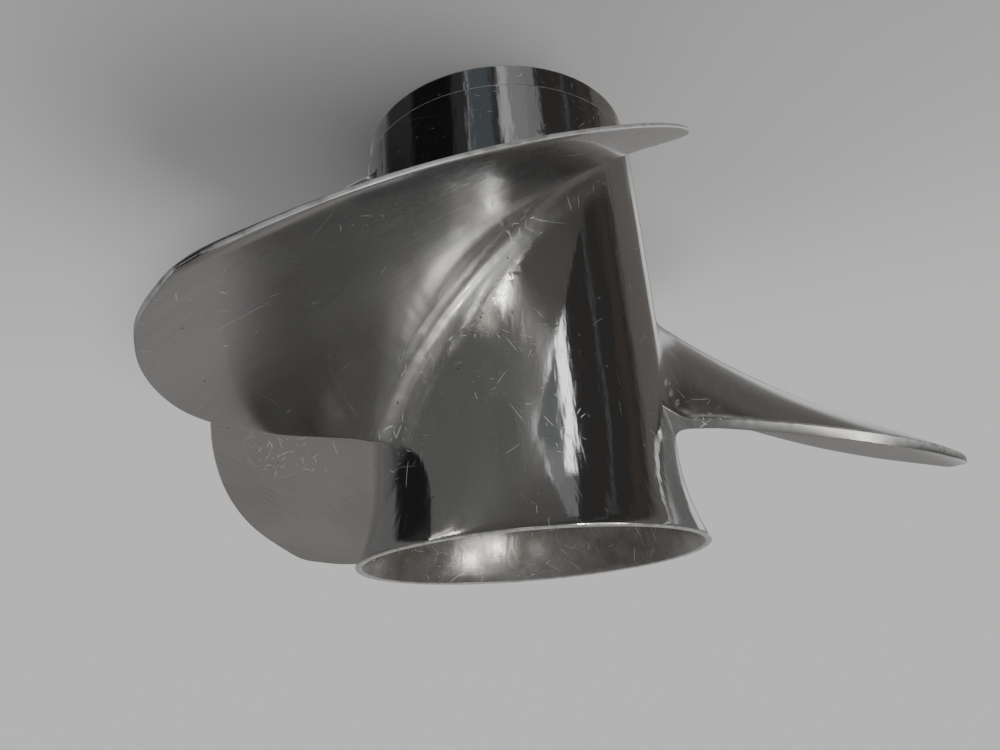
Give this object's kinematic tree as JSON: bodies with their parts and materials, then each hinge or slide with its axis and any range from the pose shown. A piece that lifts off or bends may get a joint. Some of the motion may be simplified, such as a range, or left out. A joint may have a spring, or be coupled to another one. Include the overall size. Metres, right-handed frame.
{
  "type": "outboard propeller",
  "caption": "Polished stainless outboard propeller: raked blades on a through-hub exhaust barrel with a flared aft end, carried by a rubber-cushioned spline sleeve.",
  "frame": {"origin": "on the shaft axis, at the front rim that the part stands on", "axes": "+Z along the shaft axis, towards the flared aft end; -Y towards the reference line of blade 1"},
  "size_m": [0.3437, 0.336, 0.188],
  "materials": {
    "stainless_steel": "mirror-polished barrel and satin-polished blades, with fine scratches",
    "black_rubber": "matt moulded rubber",
    "dull_brass": "dull machined brass"
  },
  "bodies": {
    "root": {"exhaust_barrel": "stainless_steel", "inner_hub": "stainless_steel", "rib_1": "stainless_steel", "rib_2": "stainless_steel", "rib_3": "stainless_steel", "blade_1": "stainless_steel", "blade_2": "stainless_steel", "blade_3": "stainless_steel", "rubber_cushion": "black_rubber", "spline_sleeve": "dull_brass"}
  },
  "joints": []
}
